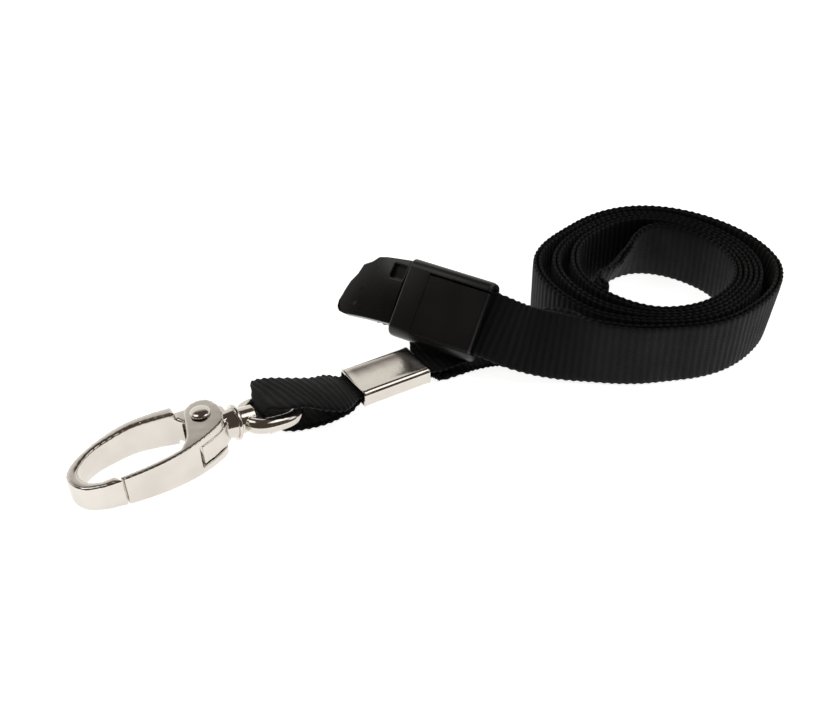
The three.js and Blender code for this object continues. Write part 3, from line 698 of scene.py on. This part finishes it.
def make_tongue():
    """The tongue with a face that rounds off across its width and towards its end."""
    piece = cast(copy_of("buckle_tongue", "tongue_plate"), 0.13, 14, 0.4)
    to_place = Matrix.Scale(MM, 4) @ Matrix.Translation(SHIFT) @ buckle_axes
    piece.data.transform(to_place.inverted())
    fall_start, fall_length, fall = TONGUE_FALL
    bend_start, bend_length, bend = TONGUE_BEND
    half, crown = TONGUE_CROWN
    for vert in piece.data.vertices:
        x, y, z = vert.co
        if x < TONGUE_TOP[0] and z > TONGUE_TOP[1]:
            slope = max(0.0, fall_start - x) / fall_length * fall
            wanted = bend * max(0.0, (bend_start - x) / bend_length) ** 2 + crown * (y / half) ** 2
            vert.co.z = z * (TONGUE_FACE - wanted) / (TONGUE_FACE - slope)
    piece.data.transform(to_place)
    return piece


def make_socket():
    """The socket's housing and its clamp flap."""
    end, top = SOCKET[0] / 2, SOCKET[2] / 2
    x0, y0, y1 = FLAP
    floor = top - FLAP_DEPTH
    pocket, pocket_half, *pocket_heights = SOCKET_POCKET
    mouth, mouth_half, *mouth_heights = SOCKET_MOUTH
    housing = rounded_bar("socket_housing")
    cut(housing, (x0, end + 1), (y0, y1), (floor, top + 1))
    cut(housing, (-end - 1, -end + pocket), (-pocket_half, pocket_half), pocket_heights)
    cut(housing, (mouth, end + 1), (-mouth_half, mouth_half), mouth_heights)
    cut(housing, (mouth, end + 1), (-mouth_half, y1), (0.0, floor + 0.1))
    flap = rounded_bar("socket_flap")
    inside = (y0 + FLAP_SEAM, y1 - FLAP_SLOT)
    cut(flap, (x0 + FLAP_SEAM, end + 1), inside, (floor + 0.3, top + 1), "INTERSECT")
    for piece in (housing, flap):
        placed(piece, buckle_axes)
        eased(piece, 0.07, 2, 40)
    return housing, flap


# ---------------------------------------------------------------- materials


def new_material(name):
    """A material with its node tree and its shader."""
    material = bpy.data.materials.new(name)
    material.use_nodes = True
    tree = material.node_tree
    return material, tree, tree.nodes["Principled BSDF"]


def joined(tree, kind, *inputs, **settings):
    """A node with its inputs set or linked in order, None to leave one alone."""
    node = tree.nodes.new(kind)
    for key, value in settings.items():
        setattr(node, key, value)
    for socket, value in zip(node.inputs, inputs):
        if value is None:
            continue
        if isinstance(value, bpy.types.NodeSocket):
            tree.links.new(value, socket)
        else:
            socket.default_value = value
    return node


def sums(tree, operation, *inputs):
    """The result of one operation on numbers."""
    return joined(tree, "ShaderNodeMath", *inputs, operation=operation).outputs[0]


def noise(tree, where, scale, detail=3.0):
    """A smooth random number, mostly between 0.3 and 0.7."""
    node = tree.nodes.new("ShaderNodeTexNoise")
    tree.links.new(where, node.inputs["Vector"])
    node.inputs["Scale"].default_value = scale
    node.inputs["Detail"].default_value = detail
    return node.outputs["Fac"]


def between(tree, fac, low, high):
    """A number that runs from low to high as fac runs from 0.3 to 0.7."""
    node = tree.nodes.new("ShaderNodeMapRange")
    tree.links.new(fac, node.inputs["Value"])
    for key, value in (("From Min", 0.3), ("From Max", 0.7), ("To Min", low), ("To Max", high)):
        node.inputs[key].default_value = value
    return node.outputs["Result"]


def tint(tree, fac, low, high):
    """A colour that runs from low to high as fac runs from 0.3 to 0.7."""
    ramp = tree.nodes.new("ShaderNodeValToRGB")
    tree.links.new(fac, ramp.inputs["Fac"])
    ramp.color_ramp.elements[0].position = 0.3
    ramp.color_ramp.elements[0].color = (*low, 1)
    ramp.color_ramp.elements[1].position = 0.7
    ramp.color_ramp.elements[1].color = (*high, 1)
    return ramp.outputs["Color"]


def bump(tree, height, distance, strength, after=None):
    """A normal bumped by a height, on top of an earlier bump if there is one."""
    node = tree.nodes.new("ShaderNodeBump")
    tree.links.new(height, node.inputs["Height"])
    node.inputs["Distance"].default_value = distance
    node.inputs["Strength"].default_value = strength
    if after is not None:
        tree.links.new(after, node.inputs["Normal"])
    return node.outputs["Normal"]


def place_of(tree, kind="Object"):
    """A texture coordinate: Object is the place in metres, Generated a world's direction."""
    return tree.nodes.new("ShaderNodeTexCoord").outputs[kind]


def webbing_material():
    """Black yarns that slant across each rib, with a faint sheen, uneven patches and painted shade in the
    grooves between ribs.
    """
    material, tree, shader = new_material("webbing")
    uv = tree.nodes.new("ShaderNodeUVMap")
    uv.uv_map = "weave"
    parts = joined(tree, "ShaderNodeSeparateXYZ", uv.outputs["UV"])
    along, across = parts.outputs[0], parts.outputs[1]
    rib = sums(tree, "FLOOR", sums(tree, "DIVIDE", along, RIB_PITCH / 2))
    shifted = sums(tree, "MULTIPLY_ADD", rib, 0.5, sums(tree, "DIVIDE", across, 0.46))
    yarn = sums(tree, "ABSOLUTE", sums(tree, "SINE", sums(tree, "MULTIPLY", shifted, math.pi)))
    fibre = noise(tree, uv.outputs["UV"], 9.0, 4)
    height = sums(tree, "MULTIPLY_ADD", fibre, 0.5, yarn)
    patch = noise(tree, place_of(tree), 160.0, 3)
    # painted shade: the colour darkens in the grooves between ribs and lightens on their ridges, on top of
    # the yarn pattern and random patches
    ridge = sums(tree, "COSINE", sums(tree, "MULTIPLY", along, 2 * math.pi / RIB_PITCH))
    groove_shade_and_tone = sums(tree, "MULTIPLY_ADD", ridge, 0.22, sums(tree, "MULTIPLY_ADD", yarn, 0.12, patch))
    colour = tint(tree, groove_shade_and_tone, (0.0007, 0.0007, 0.0009), (0.0055, 0.0055, 0.0058))
    tree.links.new(colour, shader.inputs["Base Color"])
    tree.links.new(between(tree, patch, 0.62, 0.8), shader.inputs["Roughness"])
    tree.links.new(bump(tree, height, 0.00009, 0.7), shader.inputs["Normal"])
    shader.inputs["Specular IOR Level"].default_value = 0.22
    shader.inputs["Sheen Weight"].default_value = 0.06
    shader.inputs["Sheen Roughness"].default_value = 0.45
    return material


def nickel_material():
    """Polished nickel plate with faint waves and hairlines."""
    material, tree, shader = new_material("nickel")
    where = place_of(tree)
    slow = noise(tree, where, 120.0, 2)
    fine = noise(tree, where, 2600.0, 3)
    stretch = joined(tree, "ShaderNodeMapping", where)
    stretch.inputs["Scale"].default_value = (260.0, 4200.0, 1900.0)
    hair = noise(tree, stretch.outputs[0], 1.0, 2)
    colour = tint(tree, slow, (0.64, 0.60, 0.545), (0.72, 0.685, 0.63))
    tree.links.new(colour, shader.inputs["Base Color"])
    tree.links.new(between(tree, fine, 0.09, 0.17), shader.inputs["Roughness"])
    soft = bump(tree, slow, 0.0002, 0.25)
    tree.links.new(bump(tree, hair, 0.000004, 0.35, soft), shader.inputs["Normal"])
    shader.inputs["Metallic"].default_value = 1.0
    return material


def steel_material():
    """Drawn spring wire."""
    material, tree, shader = new_material("spring_steel")
    where = place_of(tree)
    hair = noise(tree, where, 3000.0, 3)
    colour = tint(tree, hair, (0.42, 0.42, 0.43), (0.56, 0.56, 0.57))
    tree.links.new(colour, shader.inputs["Base Color"])
    tree.links.new(between(tree, hair, 0.28, 0.4), shader.inputs["Roughness"])
    tree.links.new(bump(tree, hair, 0.00001, 0.4), shader.inputs["Normal"])
    shader.inputs["Metallic"].default_value = 1.0
    return material


def plastic_material(name, rough, grain):
    """Black moulded plastic with a fine grain."""
    material, tree, shader = new_material(name)
    where = place_of(tree)
    slow = noise(tree, where, 90.0, 3)
    fine = noise(tree, where, 5200.0, 2)
    colour = tint(tree, slow, (0.005, 0.005, 0.0055), (0.0085, 0.0085, 0.009))
    tree.links.new(colour, shader.inputs["Base Color"])
    tree.links.new(between(tree, slow, rough - 0.03, rough + 0.04), shader.inputs["Roughness"])
    waves = bump(tree, slow, 0.0002, 0.08)
    tree.links.new(bump(tree, fine, 0.00003, grain, waves), shader.inputs["Normal"])
    return material


def dress(piece, material):
    """Gives a piece its only material."""
    piece.data.materials.clear()
    piece.data.materials.append(material)
    return piece


# ---------------------------------------------------------------- floor and light
FLOOR_SIZE = 4.0
FLOOR_DROP = 0.00005  # under the lanyard, so that their faces don't share a plane
FLOOR_GLOW = 0.9
FLOOR_COLOUR = 0.8
WALL_FROM = (-0.15, 0.35)  # how far to the back the bright wall comes in
WALL_TOP = (0.6, 0.73)  # and how high it fades out
STUDIO_DARK = (0.075, 0.06, 0.05, 1)
STUDIO_BRIGHT = (0.95, 0.93, 0.9, 1)


def make_floor():
    """A pale table that glows a little, as a light table does."""
    bm = bmesh.new()
    bmesh.ops.create_grid(bm, x_segments=1, y_segments=1, size=FLOOR_SIZE)
    floor = bmesh_object("floor", bm)
    floor.location.z = -FLOOR_DROP
    material, _, shader = new_material("light_table")
    shader.inputs["Base Color"].default_value = (FLOOR_COLOUR, FLOOR_COLOUR, FLOOR_COLOUR, 1)
    shader.inputs["Roughness"].default_value = 0.9
    shader.inputs["Specular IOR Level"].default_value = 0.0
    shader.inputs["Emission Color"].default_value = (1, 1, 1, 1)
    shader.inputs["Emission Strength"].default_value = FLOOR_GLOW
    dress(floor, material)


def faded(tree, value, span, first, last):
    """A number that eases from first to last as the value runs over the span."""
    return joined(tree, "ShaderNodeMapRange", value, *span, first, last,
                  interpolation_type="SMOOTHSTEP").outputs[0]


def make_world():
    """A dark studio with a bright wall at the back, seen in the metal."""
    world = bpy.data.worlds.new("studio")
    bpy.context.scene.world = world
    world.use_nodes = True
    tree = world.node_tree
    way = joined(tree, "ShaderNodeSeparateXYZ", place_of(tree, "Generated"))
    back = faded(tree, way.outputs[1], WALL_FROM, 0.0, 1.0)
    low = faded(tree, way.outputs[2], WALL_TOP, 1.0, 0.0)
    wall = sums(tree, "MULTIPLY", back, low)
    ramp = tree.nodes.new("ShaderNodeValToRGB")
    ramp.color_ramp.elements[0].color = STUDIO_DARK
    ramp.color_ramp.elements[1].color = STUDIO_BRIGHT
    tree.links.new(wall, ramp.inputs["Fac"])
    tree.links.new(ramp.outputs["Color"], tree.nodes["Background"].inputs["Color"])
    tree.nodes["Background"].inputs["Strength"].default_value = 1.0


def soft_light(name, place, size, power):
    """A soft box aimed at the middle of the lanyard."""
    data = bpy.data.lights.new(name, "AREA")
    data.shape = "RECTANGLE"
    data.size, data.size_y = size
    data.energy = power
    lamp = bpy.data.objects.new(name, data)
    bpy.context.collection.objects.link(lamp)
    lamp.location = place
    lamp.rotation_euler = (-Vector(place)).to_track_quat("-Z", "Y").to_euler()


# ---------------------------------------------------------------- making
bpy.context.scene.view_settings.view_transform = "Standard"
make_camera()
make_floor()
make_world()
soft_light("left_box", (-0.4, 0.06, 0.66), (0.3, 0.3), 0.5)
soft_light("right_box", (0.62, -0.1, 0.42), (0.25, 0.25), 0.2)
soft_light("top_box", (0.4, -0.02, 0.7), (0.4, 0.36), 0.75)

webbing = webbing_material()
nickel = nickel_material()
plastic = plastic_material("black_plastic", 0.36, 0.35)
smooth_plastic = plastic_material("black_plastic_smooth", 0.27, 0.12)
steel = steel_material()


def finished(piece, body, slot, material, *nodes):
    """Gives a piece its look and its body, and hides the CAD nodes that it stands for; slot is not used."""
    dress(piece, material)
    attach(piece, body)
    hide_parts(*nodes)


strap, strap_length = web("strap_web", main_route())
finished(strap, "strap", "webbing", webbing,
         "strap_front_run", "strap_back_run", "strap_coil", "strap_clip_loop")

tail, tail_length = web("strap_tail_web", tail_route())
dress(tail, webbing)
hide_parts("strap_tail")
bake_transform(tail)

finished(cast(copy_of("clip_body", "clip_hook"), 0.17, 36, 0.5), "clip", "nickel", nickel, "clip_body")
finished(cast(copy_of("clip_gate", "gate_lever"), 0.13, 18, 0.5), "gate", "nickel", nickel, "clip_gate")
finished(make_rivet(), "clip", "nickel", nickel, "gate_rivet")
finished(make_eye(), "strap", "nickel", nickel, "swivel_eye")
finished(make_washer(), "clip", "nickel", nickel, "swivel_washer")
finished(make_ferrule(), "strap", "nickel", nickel, "ferrule")
housing, flap = make_socket()
finished(housing, "strap", "black_plastic", plastic, "buckle_socket")
finished(flap, "strap", "black_plastic", plastic, "socket_clamp_flap")
finished(make_tongue(), "tongue", "black_plastic", smooth_plastic, "buckle_tongue")
finished(eased(copy_of("tongue_clamp_flap", "tongue_flap"), 0.15), "tongue", "black_plastic",
         smooth_plastic, "tongue_clamp_flap")
dress(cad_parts["gate_spring"], steel)

bpy.context.view_layer.update()
